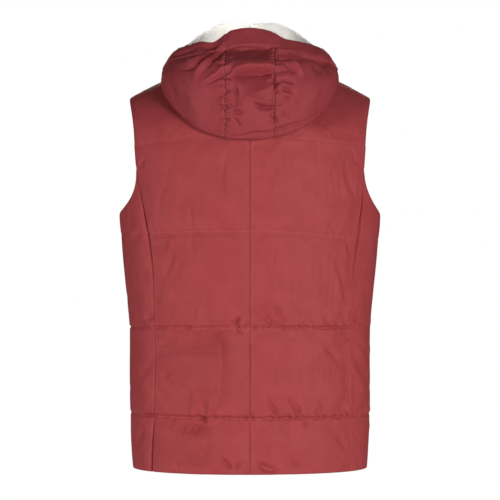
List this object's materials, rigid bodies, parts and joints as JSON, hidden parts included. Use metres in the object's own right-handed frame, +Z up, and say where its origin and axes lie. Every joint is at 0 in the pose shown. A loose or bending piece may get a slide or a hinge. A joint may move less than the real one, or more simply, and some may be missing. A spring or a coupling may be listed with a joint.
{
  "type": "puffer vest",
  "caption": "Sleeveless hooded puffer vest in worn, hollow form: wide quilted baffles, hood lying down behind the neck, front zip and open hem vents.",
  "frame": {"origin": "midway between the side-neck points at shoulder height, where the wearer's shoulders and neck carry the vest", "axes": "+Z up, the garment's front faces -Y, the wearer's left is +X"},
  "size_m": [0.4721, 0.343, 0.8117],
  "materials": {
    "shell": "burgundy woven nylon taffeta, soft satin sheen, down-proof calendered face",
    "lining": "pale grey-white polyester taffeta lining",
    "zip_tape": "dark burgundy woven zip tape",
    "zip_metal": "dark enamelled zinc zip hardware"
  },
  "bodies": {
    "garment": {"back_left": "shell", "back_right": "shell", "front_left": "shell", "front_right": "shell", "hood_left": "shell", "hood_centre": "shell", "hood_right": "shell", "hood_casing": "shell", "hood_lining_left": "lining", "hood_lining_centre": "lining", "hood_lining_right": "lining", "zip_tape_left": "zip_tape", "zip_tape_right": "zip_tape", "zip_slider": "zip_metal", "zip_box": "zip_metal"},
    "pull": {"zip_pull": "zip_metal"}
  },
  "joints": [
    {"name": "pull_swing", "type": "hinge", "parent": "garment", "child": "pull", "pos_m": [0, -0.10913, 0.04952], "axis": [-1, 0, 0], "range_deg": [0, 150]}
  ]
}
